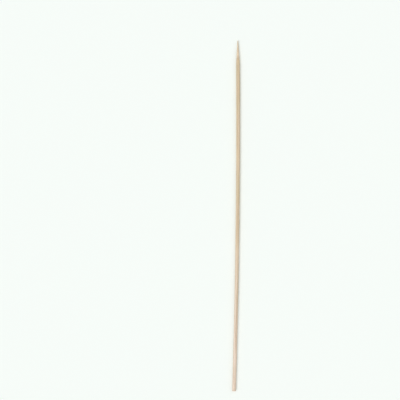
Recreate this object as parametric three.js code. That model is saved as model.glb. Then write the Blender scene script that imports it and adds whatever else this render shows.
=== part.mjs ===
// A wooden skewer: one slim round rod of bamboo with a ground point and a square-cut butt.
// Millimetres, +Z up. It lies on its side on z = 0, along Y, with its point towards +Y.
// The middle of its box's underside is the origin.

import * as THREE from "three";

// Driving dimensions
const LENGTH = 305; // butt face to tip
const DIAMETER = 3.2; // shank
const POINT_LENGTH = 20; // where the taper would start if its shoulder were sharp, to the tip
const SHOULDER_LENGTH = 6; // the soft bend between shank and taper
const TIP_DIAMETER = 0.5; // the blunt end of the taper
const TIP_ROUNDING = 0.3; // the length that the blunt end rounds over in
const BUTT_EDGE = 0.15; // the worn edge round the butt face
const BOW = 1.5; // how far the middle stands off a straight line between the ends

// Fineness of the solid
const SIDES = 32; // round the shank, a multiple of 4 so that one flat lies on the ground
const SHANK_STEPS = 28; // along the shank
const CURVE_STEPS = 6; // along the shoulder, and over the tip

const TIP_Y = LENGTH / 2;
const BUTT_Y = -LENGTH / 2;

// Radius of the straight taper at y, which runs from the shoulder's corner to the blunt tip.
function taperRadius(y) {
  const part = (TIP_Y - y) / POINT_LENGTH;
  return THREE.MathUtils.lerp(TIP_DIAMETER / 2, DIAMETER / 2, part);
}

// Half of the skewer's outline, as radius against y, from the middle of the butt to the tip.
function outline() {
  const radius = DIAMETER / 2;
  const cornerY = TIP_Y - POINT_LENGTH;
  const shankEnd = cornerY - SHOULDER_LENGTH / 2;
  const taperStart = cornerY + SHOULDER_LENGTH / 2;
  const taperEnd = TIP_Y - TIP_ROUNDING;
  const shankStart = BUTT_Y + BUTT_EDGE;

  const path = new THREE.Path();
  path.moveTo(0, BUTT_Y);
  path.lineTo(radius - BUTT_EDGE, BUTT_Y);
  for (let i = 0; i <= SHANK_STEPS; i++) {
    path.lineTo(radius, THREE.MathUtils.lerp(shankStart, shankEnd, i / SHANK_STEPS));
  }
  path.quadraticCurveTo(radius, cornerY, taperRadius(taperStart), taperStart);
  path.lineTo(taperRadius(taperEnd), taperEnd);
  path.quadraticCurveTo(TIP_DIAMETER / 2, TIP_Y, 0, TIP_Y);
  return path.getPoints(CURVE_STEPS);
}

// Sideways place of the skewer's middle line at y: a shallow arch whose box is centred on x = 0.
function bowAt(y) {
  return BOW * (1 - (y / TIP_Y) ** 2) - BOW / 2;
}

// The outline is turned about Y with flats facing the ground, and then bowed towards +X.
function skewerGeometry() {
  const halfSide = Math.PI / SIDES;
  const flatToCorner = 1 / Math.cos(halfSide);
  const turned = new THREE.LatheGeometry(outline(), SIDES, halfSide);
  turned.scale(flatToCorner, 1, flatToCorner);
  turned.translate(0, 0, DIAMETER / 2);

  const places = turned.getAttribute("position");
  for (let i = 0; i < places.count; i++) {
    places.setX(i, places.getX(i) + bowAt(places.getY(i)));
  }
  turned.computeVertexNormals();
  return turned;
}

const bamboo = new THREE.MeshStandardMaterial({ color: 0xe2d3ac, roughness: 0.6, metalness: 0 });
const skewer = new THREE.Mesh(skewerGeometry(), bamboo);
skewer.name = "skewer";

const woodenSkewer = new THREE.Group();
woodenSkewer.add(skewer);

export default woodenSkewer;
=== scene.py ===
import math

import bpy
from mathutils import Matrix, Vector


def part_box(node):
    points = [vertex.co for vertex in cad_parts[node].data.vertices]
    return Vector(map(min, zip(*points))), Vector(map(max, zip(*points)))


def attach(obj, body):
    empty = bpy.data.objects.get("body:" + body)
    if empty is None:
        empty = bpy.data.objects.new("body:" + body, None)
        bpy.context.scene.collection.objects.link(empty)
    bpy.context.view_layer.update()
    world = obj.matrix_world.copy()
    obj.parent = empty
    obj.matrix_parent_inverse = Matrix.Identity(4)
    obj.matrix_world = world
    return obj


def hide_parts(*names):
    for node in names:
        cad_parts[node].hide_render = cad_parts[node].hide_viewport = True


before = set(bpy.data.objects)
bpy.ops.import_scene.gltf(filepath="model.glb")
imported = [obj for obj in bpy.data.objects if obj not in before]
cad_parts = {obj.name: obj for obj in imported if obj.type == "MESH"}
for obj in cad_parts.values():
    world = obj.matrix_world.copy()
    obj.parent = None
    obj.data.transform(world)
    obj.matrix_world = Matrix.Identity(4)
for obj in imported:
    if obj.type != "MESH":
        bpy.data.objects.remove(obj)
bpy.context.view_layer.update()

# A wooden skewer that lies on a pale floor, seen from straight above. Metres, +Z up.
# The skewer lies along Y with its point towards +Y, and bows a little towards +X.

MM = 0.001

# The skewer's sizes
LOW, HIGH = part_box("skewer")
TIP_Y = HIGH.y
BUTT_Y = LOW.y
RADIUS = (HIGH.z - LOW.z) / 2
AXIS_Z = (HIGH.z + LOW.z) / 2
BOW = 1.5 * MM
POINT_LENGTH = 20 * MM
SHOULDER_LENGTH = 6 * MM
TIP_RADIUS = 0.25 * MM
TIP_ROUNDING = 0.3 * MM
TIP_END_RADIUS = 0.04 * MM
BUTT_EDGE = 0.15 * MM

# Fineness of the mesh
AROUND = 192
SHANK_CUTS = 180  # in each half of the shank
TAPER_CUTS = 60
SHOULDER_STEPS = 14
EDGE_STEPS = 4
BUTT_CUTS = 26
SMOOTH_ANGLE = 50  # degrees, past which an edge shows

# How near counts as the same place, and how far a normal points along -Y on the butt face
NEAR = MM / 1000
FACING = 0.99

# The bamboo's inner structure, in millimetres
BUNDLE_SPACING = 0.50
VESSEL_SPACING = 0.13
GRAIN_SLOPE = 0.0035
WANDER = 0.9
WANDER_LENGTH = 75
WANDER_START_ACROSS = 3.1
WANDER_START_UP = 17.7
# The culm's skin side, set to the right and underneath where shade falls: its tan is partly painted
# shade
SKIN_AND_SHADE_ACROSS = 0.8
SKIN_AND_SHADE_UP = -0.6
CROWDING = 0.12

# Width and length in millimetres of the strands that its tone runs in, and each one's finer layers
FIBRE = (0.07, 9.0, 2.0)
GRAIN = (0.16, 26.0, 1.0)
STREAK = (0.45, 48.0, 1.0)
CLOUD = (2.6, 20.0, 1.0)

# Millimetres from the butt to where the sawn face starts and is full, and from the tip for its brown
SAWN_START = 0.12
SAWN_FULL = 0.03
BROWNED_START = 3.5
BROWNED_FULL = 0.2

# Marks that grinding left round the point, and the saw across the butt face, in millimetres
GRINDING_WIDTH = 0.9
GRINDING_SPACING = 0.11
SAW_SPACING = 0.10
SAW_LENGTH = 2.4

# From this y on, in millimetres, a painted haze of reflected light makes the wood paler towards the butt
PAINTED_HAZE_START = 40

# The piece's own map: the shank lies in strips side by side, then the point above the butt face
STRIPS = 3
STRIP_WIDTH = 0.28
MAP_MARGIN = 0.01
BUTT_MAP_SIZE = 1 - STRIPS * STRIP_WIDTH - 2 * MAP_MARGIN
POINT_START = TIP_Y - POINT_LENGTH - SHOULDER_LENGTH / 2

# Depths of the surface's relief
GROUND_DEPTH = 0.022 * MM
WAVE_DEPTH = 0.030 * MM
BUMP_DEPTH = 0.030 * MM


class Wire:
    """A number, colour or vector that runs between nodes, written in sums as if it were a number."""

    def __init__(self, graph, socket):
        self.graph = graph
        self.socket = socket

    def worked(self, operation, *terms):
        inputs = dict(enumerate(terms))
        return self.graph.add("ShaderNodeMath", {"operation": operation}, inputs)

    def __add__(self, other):
        return self.worked("ADD", self, other)

    __radd__ = __add__

    def __sub__(self, other):
        return self.worked("SUBTRACT", self, other)

    def __rsub__(self, other):
        return self.worked("SUBTRACT", other, self)

    def __mul__(self, other):
        return self.worked("MULTIPLY", self, other)

    __rmul__ = __mul__

    def __truediv__(self, other):
        return self.worked("DIVIDE", self, other)

    def rise(self, low, high):
        """0 below low, 1 above high, and a smooth rise between. With low over high it falls instead."""
        return self.graph.add(
            "ShaderNodeMapRange",
            {"interpolation_type": "SMOOTHSTEP"},
            {"Value": self, "From Min": low, "From Max": high},
        )


class Graph:
    """A node tree that is filled by plain calls."""

    def __init__(self, tree):
        self.tree = tree

    def node(self, kind, settings, inputs):
        """Adds a node: its type, then its settings, then its sockets' values or wires."""
        made = self.tree.nodes.new(kind)
        for name, value in settings.items():
            setattr(made, name, value)
        for name, value in inputs.items():
            if isinstance(value, Wire):
                self.tree.links.new(value.socket, made.inputs[name])
            else:
                made.inputs[name].default_value = value
        return made

    def add(self, kind, settings, inputs, output=0):
        """As node, but gives the wire from one of its outputs."""
        return Wire(self, self.node(kind, settings, inputs).outputs[output])

    def split(self, vector):
        parts = self.node("ShaderNodeSeparateXYZ", {}, {0: vector})
        return [Wire(self, output) for output in parts.outputs]

    def vector(self, x, y, z):
        return self.add("ShaderNodeCombineXYZ", {}, {"X": x, "Y": y, "Z": z})

    def noise(self, vector, detail=0.0):
        return self.add("ShaderNodeTexNoise", {}, {"Vector": vector, "Scale": 1.0, "Detail": detail})

    def drift(self, along, start):
        """A slow wander along the skewer, from -0.5 to 0.5, that differs for each start."""
        settings = {"noise_dimensions": "1D"}
        inputs = {"W": along / WANDER_LENGTH + start, "Scale": 1.0, "Detail": 0.0}
        return self.add("ShaderNodeTexNoise", settings, inputs) - 0.5

    def blend(self, factor, first, second):
        """A colour that goes from the first to the second as the factor goes from 0 to 1."""
        # A Mix node takes its two colours at sockets 6 and 7, and gives their mix at output 2.
        inputs = {0: factor, 6: first, 7: second}
        return self.add("ShaderNodeMix", {"data_type": "RGBA"}, inputs, 2)

    def shaded(self, colour, share):
        """The colour times a number."""
        return self.add("ShaderNodeVectorMath", {"operation": "SCALE"}, {0: colour, "Scale": share})


def middle_at(y):
    """x of the skewer's middle line at y, for a number or for a wire."""
    part = y / TIP_Y
    return BOW * (0.5 - part * part)


class Bamboo:
    """The wood inside the rod, as numbers at a place: what the shank, the point and the butt cut open.

    Fibre bundles run nearly along the rod in a softer ground. They crowd towards the side that grew
    nearest to the culm's skin, and each holds a few open vessels. That side is set to the right and
    underneath, where shade falls, so its tan is partly painted shade.
    """

    def __init__(self, graph, position):
        x, y, z = graph.split(position)
        self.along = y / MM
        across = (x - middle_at(y)) / MM
        up = (z - AXIS_Z) / MM
        drift_across = graph.drift(self.along, WANDER_START_ACROSS)
        drift_up = graph.drift(self.along, WANDER_START_UP)
        self.across = across + self.along * GRAIN_SLOPE + drift_across * WANDER
        self.up = up + drift_up * WANDER
        # Towards the skin side, which faces where shade falls, so its bundles also paint shade
        self.skin = across * SKIN_AND_SHADE_ACROSS + up * SKIN_AND_SHADE_UP
        crowded = 1 + self.skin * CROWDING
        section = graph.vector(self.across * crowded, self.up * crowded, 0.0)

        bundles = self.cells(graph, section, BUNDLE_SPACING)
        lot = graph.split(Wire(graph, bundles.outputs["Color"]))
        reach = Wire(graph, bundles.outputs["Distance"]) / (0.75 + 0.55 * lot[0])
        self.bundle = reach.rise(0.40, 0.24)
        self.tone = lot[1]

        vessels = self.cells(graph, section, VESSEL_SPACING)
        vessel_lot = graph.split(Wire(graph, vessels.outputs["Color"]))
        hollow = Wire(graph, vessels.outputs["Distance"]).rise(0.42, 0.22)
        self.vessel = hollow * vessel_lot[0].rise(0.35, 0.50) * reach.rise(0.26, 0.18)

        self.fibre = self.strands(graph, *FIBRE)
        self.grain = self.strands(graph, *GRAIN)
        self.streak = self.strands(graph, *STREAK)
        self.cloud = self.strands(graph, *CLOUD)

        butt = BUTT_Y / MM
        self.on_butt = self.along.rise(butt + SAWN_START, butt + SAWN_FULL)

    def cells(self, graph, section, spacing):
        settings = {"voronoi_dimensions": "2D"}
        inputs = {"Vector": section, "Scale": 1 / spacing, "Randomness": 0.85}
        return graph.node("ShaderNodeTexVoronoi", settings, inputs)

    def strands(self, graph, width, length, detail):
        """Noise in strands of about that width and length in millimetres."""
        place = graph.vector(self.across / width, self.along / length, self.up / width)
        return graph.noise(place, detail)


def linear(red, green, blue):
    """The colour that shows as these 0 to 255 values, as the linear values that sockets take."""
    shown = [value / 255 for value in (red, green, blue)]
    return (*[c / 12.92 if c <= 0.04045 else ((c + 0.055) / 1.055) ** 2.4 for c in shown], 1.0)


# The wood's colours
PALE_GROUND = linear(237, 218, 195)
WARM_GROUND = linear(223, 201, 166)
GREENISH_GROUND = linear(208, 193, 155)
# Painted haze: the pale wash of reflected light that the wood takes on towards the butt
PAINTED_HAZE_COLOUR = linear(241, 221, 212)
GRAIN_LINE = linear(200, 172, 130)
LIGHT_BUNDLE = linear(206, 179, 140)
DARK_BUNDLE = linear(184, 152, 110)
OPEN_VESSEL = linear(120, 86, 52)
RUBBED_TIP = linear(172, 140, 98)


def bamboo_finish():
    """Dry sanded bamboo: pale ground, tan bundles, thin dark vessels and a dull polish."""
    material = bpy.data.materials.new("sanded_bamboo")
    material.use_nodes = True
    graph = Graph(material.node_tree)
    shader = material.node_tree.nodes["Principled BSDF"]
    place = graph.add("ShaderNodeTexCoord", {}, {}, "Object")
    wood = Bamboo(graph, place)

    shoulder = POINT_START / MM + 2.5 * wood.streak + 2.0 * wood.bundle
    on_point = (wood.along - shoulder).rise(-0.3, 0.6)
    on_tip = wood.along.rise(TIP_Y / MM - BROWNED_START, TIP_Y / MM - BROWNED_FULL)
    # Painted haze of reflected light: 0 up to its start, rising to 1 at the butt
    painted_haze = wood.along.rise(PAINTED_HAZE_START, BUTT_Y / MM)

    lines = wood.fibre.rise(0.38, 0.62)
    ground = graph.blend(wood.streak.rise(0.34, 0.66), PALE_GROUND, WARM_GROUND)
    ground = graph.blend(wood.cloud.rise(0.40, 0.70) * 0.5, ground, GREENISH_GROUND)
    ground = graph.blend(wood.grain.rise(0.52, 0.66) * 0.45, ground, GRAIN_LINE)
    # Painted haze: the ground goes paler towards the butt, as if reflected light lay on it
    ground = graph.blend(painted_haze * 0.55, ground, PAINTED_HAZE_COLOUR)
    tan = graph.blend(wood.tone, LIGHT_BUNDLE, DARK_BUNDLE)
    # More tan towards the skin side, which is real bamboo, set on the shaded side as painted shade too
    colour = graph.blend(wood.bundle * (0.62 + 0.12 * wood.skin), ground, tan)
    colour = graph.blend(wood.vessel * 0.85, colour, OPEN_VESSEL)
    colour = graph.blend(on_tip * 0.35, colour, RUBBED_TIP)
    # Lighter fibres, the ground point and the darker end grain are the wood's own tone; the haze's share
    # is painted light
    shade = 0.885 + 0.14 * lines + 0.04 * on_point + 0.055 * painted_haze - 0.10 * wood.on_butt
    colour = graph.shaded(colour, shade)

    round_point = graph.vector(
        wood.across / GRINDING_WIDTH, wood.along / GRINDING_SPACING, wood.up / GRINDING_WIDTH
    )
    rings = graph.noise(round_point, 1.0)
    across_butt = graph.vector(wood.across / SAW_SPACING, 0.0, wood.up / SAW_LENGTH)
    saw = graph.noise(across_butt, 1.0)
    height = lines * 0.5 + wood.bundle * 0.4 - wood.vessel * 1.2
    height = height + rings * on_point * 0.9 + saw * wood.on_butt * 0.6
    bump = graph.add(
        "ShaderNodeBump", {}, {"Strength": 0.7, "Distance": BUMP_DEPTH, "Height": height}
    )
    roughness = 0.60 - 0.12 * wood.bundle + 0.06 * lines + 0.08 * on_point + 0.10 * wood.on_butt

    for name, wire in (("Base Color", colour), ("Roughness", roughness), ("Normal", bump)):
        graph.tree.links.new(wire.socket, shader.inputs[name])
    shader.inputs["Specular IOR Level"].default_value = 0.35
    return material


def choose(piece, kind, wanted):
    """Selects in edit mode the vertices, edges or faces of which wanted says so, and nothing else."""
    bpy.ops.object.mode_set(mode="EDIT")
    bpy.ops.mesh.select_mode(type=kind)
    bpy.ops.mesh.select_all(action="DESELECT")
    bpy.ops.object.mode_set(mode="OBJECT")
    mesh = piece.data
    for item in {"VERT": mesh.vertices, "EDGE": mesh.edges, "FACE": mesh.polygons}[kind]:
        item.select = wanted(item)
    bpy.ops.object.mode_set(mode="EDIT")


def outline():
    """The skewer's (y, radius) stations after its butt face, in order, up to the end of its tip."""
    stations = []
    for i in range(1, EDGE_STEPS + 1):
        turn = math.pi / 2 * i / EDGE_STEPS
        stations.append(
            (BUTT_Y + BUTT_EDGE * (1 - math.cos(turn)), RADIUS - BUTT_EDGE * (1 - math.sin(turn)))
        )

    corner_y = TIP_Y - POINT_LENGTH
    slope = (RADIUS - TIP_RADIUS) / POINT_LENGTH
    shank_end = corner_y - SHOULDER_LENGTH / 2
    stations.append((0.0, RADIUS))
    stations.append((shank_end, RADIUS))
    for i in range(1, SHOULDER_STEPS + 1):
        part = i / SHOULDER_STEPS
        drop = slope * SHOULDER_LENGTH / 2 * part * part
        stations.append((shank_end + SHOULDER_LENGTH * part, RADIUS - drop))

    taper_end = TIP_Y - TIP_ROUNDING
    end_radius = TIP_RADIUS + slope * TIP_ROUNDING
    for i in range(EDGE_STEPS + 1):
        turn = math.pi / 2 * i / EDGE_STEPS
        round_radius = TIP_END_RADIUS + (end_radius - TIP_END_RADIUS) * math.cos(turn)
        stations.append((taper_end + TIP_ROUNDING * math.sin(turn), round_radius))
    return stations


def turned_blank():
    """The straight rod with its point: a disc at the butt that is drawn out through the outline."""
    face_radius = RADIUS - BUTT_EDGE
    bpy.ops.object.select_all(action="DESELECT")
    bpy.ops.mesh.primitive_circle_add(
        vertices=AROUND,
        radius=face_radius,
        fill_type="NGON",
        calc_uvs=False,
        location=(-BOW / 2, BUTT_Y, AXIS_Z),
        rotation=(math.radians(90), 0, 0),
    )
    blank = bpy.context.object
    blank.name = "bamboo_skewer"
    blank.data.name = "bamboo_skewer"
    bpy.ops.object.transform_apply(location=True, rotation=True, scale=True)

    bpy.ops.object.mode_set(mode="EDIT")
    bpy.ops.mesh.select_mode(type="FACE")
    bpy.ops.mesh.select_all(action="SELECT")
    y = BUTT_Y
    radius = face_radius
    for next_y, next_radius in outline():
        bpy.ops.mesh.extrude_region_move(TRANSFORM_OT_translate={"value": (0, next_y - y, 0)})
        share = next_radius / radius
        middle = (-BOW / 2, next_y, AXIS_Z)
        bpy.ops.transform.resize(value=(share, 1, share), center_override=middle)
        y = next_y
        radius = next_radius
    bpy.ops.mesh.poke()
    bpy.ops.mesh.select_all(action="SELECT")
    bpy.ops.mesh.normals_make_consistent(inside=False)
    bpy.ops.object.mode_set(mode="OBJECT")
    return blank


def length_along(piece, edge):
    start, end = [piece.data.vertices[i].co for i in edge.vertices]
    return abs(start.y - end.y)


def refine(piece):
    """Cuts rings along the shank and the taper, and circles in the butt face."""
    # Only the shank's edges are as long as four points, and once they are cut, only the taper's
    # are longer than half of one.
    choose(piece, "EDGE", lambda edge: length_along(piece, edge) > 4 * POINT_LENGTH)
    bpy.ops.mesh.subdivide(number_cuts=SHANK_CUTS)
    choose(piece, "EDGE", lambda edge: length_along(piece, edge) > POINT_LENGTH / 2)
    bpy.ops.mesh.subdivide(number_cuts=TAPER_CUTS)
    choose(piece, "FACE", lambda face: face.normal.y < -FACING)
    bpy.ops.mesh.poke()
    bpy.ops.object.mode_set(mode="OBJECT")

    def is_spoke(edge):
        start, end = [piece.data.vertices[i].co for i in edge.vertices]
        in_face = max(start.y, end.y) < BUTT_Y + NEAR
        return in_face and (start - end).length > RADIUS / 2

    choose(piece, "EDGE", is_spoke)
    bpy.ops.mesh.subdivide(number_cuts=BUTT_CUTS)
    bpy.ops.object.mode_set(mode="OBJECT")


def place_on_strip(y, turn, low_u, width, start, end, low_v):
    """A place in the map for a turn of 0 to 1 round the rod and a y between a strip's start and end."""
    u = low_u + MAP_MARGIN / 2 + (width - MAP_MARGIN) * turn
    v = low_v + MAP_MARGIN + (1 - 2 * MAP_MARGIN - low_v) * (y - start) / (end - start)
    return u, v


def strip_at(y):
    """The map's strip for a face at y: low u, width, its ends along the rod, and low v."""
    length = (POINT_START - BUTT_Y) / STRIPS
    number = min(int((y - BUTT_Y) / length), STRIPS)
    low_u = number * STRIP_WIDTH
    if number == STRIPS:
        return low_u, 1 - low_u, POINT_START, TIP_Y, BUTT_MAP_SIZE + MAP_MARGIN
    start = BUTT_Y + number * length
    return low_u, STRIP_WIDTH, start, start + length, 0.0


def place_on_butt(place):
    """A place in the map for a place on the butt face."""
    share = BUTT_MAP_SIZE / (2 * RADIUS)
    middle = MAP_MARGIN + BUTT_MAP_SIZE / 2
    u = STRIPS * STRIP_WIDTH + middle + (place.x + BOW / 2) * share
    v = middle + (place.z - AXIS_Z) * share
    return u, v


def turn_at(place):
    """How far round the straight rod a place lies, in turns from its underside."""
    return math.atan2(-BOW / 2 - place.x, AXIS_Z - place.z) / math.tau


def lay_out(piece):
    """Gives the straight rod its map, with its seam underneath."""
    mesh = piece.data
    layer = mesh.uv_layers.new(name="OFBake")
    for face in mesh.polygons:
        face_turn = turn_at(face.center) % 1
        strip = strip_at(face.center.y)
        for loop in face.loop_indices:
            place = mesh.vertices[mesh.loops[loop].vertex_index].co
            if face.normal.y < -FACING:
                layer.uv[loop].vector = place_on_butt(place)
                continue
            turn = face_turn
            if math.hypot(place.x + BOW / 2, place.z - AXIS_Z) > NEAR:
                turn = turn_at(place)
                turn += round(face_turn - turn)
            layer.uv[loop].vector = place_on_strip(place.y, turn, *strip)


def bow(piece):
    """Pulls the middle ring sideways, and the rest of the rod after it in a shallow arch."""
    choose(piece, "VERT", lambda vertex: abs(vertex.co.y) < NEAR)
    bpy.ops.transform.translate(
        value=(BOW, 0, 0),
        use_proportional_edit=True,
        proportional_edit_falloff="INVERSE_SQUARE",
        proportional_size=TIP_Y,
    )
    bpy.ops.object.mode_set(mode="OBJECT")


def relief(piece):
    """Lowers the soft ground between the bundles, and leaves the sanded rod a little uneven."""
    group = bpy.data.node_groups.new("wood_relief", "GeometryNodeTree")
    group.interface.new_socket("Geometry", in_out="INPUT", socket_type="NodeSocketGeometry")
    group.interface.new_socket("Geometry", in_out="OUTPUT", socket_type="NodeSocketGeometry")
    graph = Graph(group)
    given = graph.add("NodeGroupInput", {}, {})
    wood = Bamboo(graph, graph.add("GeometryNodeInputPosition", {}, {}))
    normal = graph.add("GeometryNodeInputNormal", {}, {})

    ground = GROUND_DEPTH * (1 - wood.bundle) * (1 - 0.6 * wood.on_butt)
    wave = WAVE_DEPTH * wood.streak.rise(0.75, 0.25) * (1 - wood.on_butt)
    depth = ground + wave
    move = graph.add("ShaderNodeVectorMath", {"operation": "SCALE"}, {0: normal, "Scale": 0 - depth})
    moved = graph.add("GeometryNodeSetPosition", {}, {"Geometry": given, "Offset": move})
    graph.node("NodeGroupOutput", {}, {0: moved})

    modifier = piece.modifiers.new("wood_relief", "NODES")
    modifier.node_group = group
    bpy.context.view_layer.objects.active = piece
    bpy.ops.object.modifier_apply(modifier=modifier.name)
    bpy.data.node_groups.remove(group)


def make_skewer():
    piece = turned_blank()
    refine(piece)
    lay_out(piece)
    bow(piece)
    piece.select_set(True)
    bpy.ops.object.shade_smooth_by_angle(angle=math.radians(SMOOTH_ANGLE))
    relief(piece)
    piece.data.materials.append(bamboo_finish())
    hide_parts("skewer")
    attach(piece, "root")


# The camera looks straight down. The photograph's frame is 400 by 400 pixels, and the skewer's
# two ends lie at these places in it. The lens and its sensor are in millimetres.
FRAME_PIXELS = 400
TIP_PIXEL = (237.8, 40.5)
BUTT_PIXEL = (234.0, 391.0)
LENS = 85
SENSOR = 36

# The surroundings, with the floor's side in metres
FLOOR_SIZE = 8
FLOOR_COLOUR = linear(248, 253, 248)
BACKDROP_COLOUR = linear(247, 252, 248)
ROOM_COLOUR = linear(252, 253, 255)
ROOM_LEVEL = 0.5


def make_camera():
    right = TIP_PIXEL[0] - BUTT_PIXEL[0]
    rise = BUTT_PIXEL[1] - TIP_PIXEL[1]
    roll = math.atan2(right, rise)
    metres = (TIP_Y - BUTT_Y) / math.hypot(right, rise)
    off_right = metres * (FRAME_PIXELS - TIP_PIXEL[0] - BUTT_PIXEL[0]) / 2
    off_up = metres * (TIP_PIXEL[1] + BUTT_PIXEL[1] - FRAME_PIXELS) / 2

    data = bpy.data.cameras.new("camera")
    data.lens = LENS
    data.sensor_width = SENSOR
    camera = bpy.data.objects.new("camera", data)
    bpy.context.scene.collection.objects.link(camera)
    camera.location = (
        -BOW / 2 + off_right * math.cos(roll) - off_up * math.sin(roll),
        off_right * math.sin(roll) + off_up * math.cos(roll),
        AXIS_Z + metres * FRAME_PIXELS * LENS / SENSOR,
    )
    camera.rotation_euler = (0, 0, roll)
    bpy.context.scene.camera = camera


def make_floor():
    bpy.ops.object.select_all(action="DESELECT")
    bpy.ops.mesh.primitive_plane_add(size=FLOOR_SIZE, location=(0, 0, 0))
    floor = bpy.context.object
    floor.name = "floor"
    material = bpy.data.materials.new("pale_floor")
    material.use_nodes = True
    shader = material.node_tree.nodes["Principled BSDF"]
    shader.inputs["Base Color"].default_value = FLOOR_COLOUR
    shader.inputs["Roughness"].default_value = 1.0
    shader.inputs["Specular IOR Level"].default_value = 0.0
    floor.data.materials.append(material)


def make_sun(name, level, elevation, azimuth, softness):
    """A wide soft lamp, with its angles in degrees.

    Level is the share of a plain exposure that it gives to a surface that faces it.
    """
    data = bpy.data.lights.new(name, "SUN")
    data.energy = math.pi * level
    data.angle = math.radians(softness)
    lamp = bpy.data.objects.new(name, data)
    bpy.context.scene.collection.objects.link(lamp)
    lamp.rotation_euler = (math.radians(90 - elevation), 0, math.radians(azimuth))


def make_room():
    """Light from all round, and a pale backdrop where the camera or a reflection sees past the floor."""
    world = bpy.data.worlds.new("studio")
    bpy.context.scene.world = world
    world.use_nodes = True
    graph = Graph(world.node_tree)
    room = graph.add("ShaderNodeBackground", {}, {"Color": ROOM_COLOUR, "Strength": ROOM_LEVEL})
    backdrop = graph.add("ShaderNodeBackground", {}, {"Color": BACKDROP_COLOUR, "Strength": 1.0})
    ray = graph.node("ShaderNodeLightPath", {}, {})
    camera, glossy, through = [
        Wire(graph, ray.outputs[name])
        for name in ("Is Camera Ray", "Is Glossy Ray", "Is Transmission Ray")
    ]
    inputs = {0: camera + glossy + through, 1: room, 2: backdrop}
    mixed = graph.add("ShaderNodeMixShader", {}, inputs)
    output = world.node_tree.nodes["World Output"]
    world.node_tree.links.new(mixed.socket, output.inputs["Surface"])


make_skewer()
make_camera()
make_floor()
make_room()
make_sun("key", level=0.45, elevation=60, azimuth=-60, softness=40)
make_sun("fill", level=0.15, elevation=50, azimuth=120, softness=60)
bpy.context.scene.view_settings.view_transform = "Standard"
